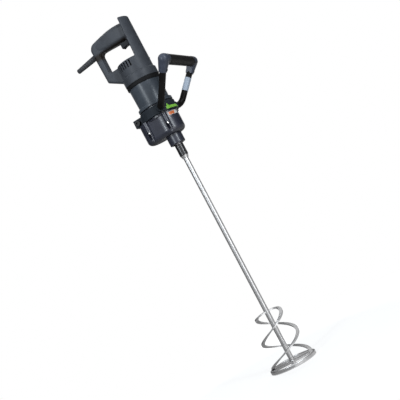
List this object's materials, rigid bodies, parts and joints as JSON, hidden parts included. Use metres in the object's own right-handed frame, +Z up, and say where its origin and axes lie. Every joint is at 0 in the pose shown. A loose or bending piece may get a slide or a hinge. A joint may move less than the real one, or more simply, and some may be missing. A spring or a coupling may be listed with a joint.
{
  "type": "mixing drill",
  "caption": "Hand-held electric mixing drill with closed rear handle, bow handle and a geared spindle turning a ribbon stirrer",
  "frame": {"origin": "middle of the paddle rod's foot, level with the underside of the paddle's ring", "axes": "+Z up the spindle towards the rear handle, +X towards the bow handle, +Y to the far side"},
  "size_m": [0.2638, 0.2176, 0.94],
  "materials": {
    "handle_plastic": "fine satin grain",
    "control_plastic": "smooth satin",
    "inner_plastic": "moulded",
    "motor_shell": "satin slate",
    "rubber": "matt",
    "grip_rubber": "matt",
    "gear_casting": "dark painted casting",
    "inner_casting": "bare casting",
    "clamp_black": "matt black",
    "tube_black": "gloss black",
    "elbow_plastic": "satin",
    "steel": "machined",
    "fastener": "zinc",
    "black_fastener": "black oxide",
    "laminations": "stacked sheet",
    "copper": "varnished wire",
    "brass": "plain",
    "carbon": "carbon block",
    "band_green": "plain",
    "plate_pale": "plain, blank",
    "wrap_pale": "plain film",
    "adaptor_black": "gloss black oxide",
    "galvanised": "bright zinc"
  },
  "bodies": {
    "machine": {"handle_shell_left": "handle_plastic", "handle_shell_right": "handle_plastic", "handle_screws": "fastener", "switch_module": "inner_plastic", "cable_boot": "rubber", "cord_clamp": "inner_plastic", "motor_housing": "motor_shell", "seal_ring": "rubber", "stator_core": "laminations", "field_coils": "copper", "brush_plate": "inner_plastic", "brush_holders": "brass", "carbon_brushes": "carbon", "armature_bearing_front": "steel", "armature_bearing_rear": "steel", "gear_flange": "gear_casting", "flange_screws": "fastener", "gear_housing": "gear_casting", "gear_housing_screws": "fastener", "bearing_bridge": "inner_casting", "layshaft_bush_upper": "brass", "layshaft_bush_lower": "brass", "spindle_bearing_upper": "steel", "spindle_bearing_lower": "steel", "spindle_seal": "rubber", "clamp_ring": "clamp_black", "clamp_screw": "black_fastener", "clamp_nut": "black_fastener", "bow_tube_left": "tube_black", "bow_tube_right": "tube_black", "bow_elbow_left": "elbow_plastic", "bow_elbow_right": "elbow_plastic", "bow_core": "steel", "bow_grip": "grip_rubber", "bow_elbow_screws": "black_fastener", "bow_socket_bolts": "black_fastener", "accent_band": "band_green", "rating_plate": "plate_pale", "tube_wrap": "wrap_pale"},
    "spindle": {"spindle": "steel", "spindle_gear": "steel", "spindle_key": "steel", "paddle_adaptor": "adaptor_black", "paddle_collar": "galvanised", "paddle_rod": "galvanised", "paddle_strip_a": "galvanised", "paddle_strip_b": "galvanised", "paddle_ring": "galvanised", "paddle_spokes": "galvanised"},
    "layshaft": {"layshaft": "steel", "layshaft_gear": "steel"},
    "armature": {"armature_shaft": "steel", "armature_core": "laminations", "armature_windings": "copper", "commutator": "copper", "cooling_fan": "inner_plastic"},
    "trigger": {"trigger": "control_plastic"},
    "lock_button": {"lock_button": "control_plastic"}
  },
  "joints": [
    {"name": "spindle_spin", "type": "hinge", "parent": "machine", "child": "spindle", "pos_m": [0, 0, 0.61], "axis": [0, 0, 1], "continuous": true},
    {"name": "layshaft_spin", "type": "hinge", "parent": "machine", "child": "layshaft", "pos_m": [-0.036, 0, 0.65], "axis": [0, 0, 1], "continuous": true},
    {"name": "armature_spin", "type": "hinge", "parent": "machine", "child": "armature", "pos_m": [-0.006, 0, 0.74], "axis": [0, 0, 1], "continuous": true},
    {"name": "trigger_pull", "type": "slide", "parent": "machine", "child": "trigger", "axis": [0, 0, 1], "range_m": [0, 0.007], "stiffness_N_per_m": 600, "springref_m": -0.004},
    {"name": "lock_press", "type": "slide", "parent": "machine", "child": "lock_button", "axis": [0, -1, 0], "range_m": [0, 0.0022], "stiffness_N_per_m": 500, "springref_m": -0.003}
  ],
  "couplings": [
    {"joint": "layshaft_spin", "follows": "spindle_spin", "ratio": -3.6154},
    {"joint": "armature_spin", "follows": "spindle_spin", "ratio": 20.487}
  ]
}
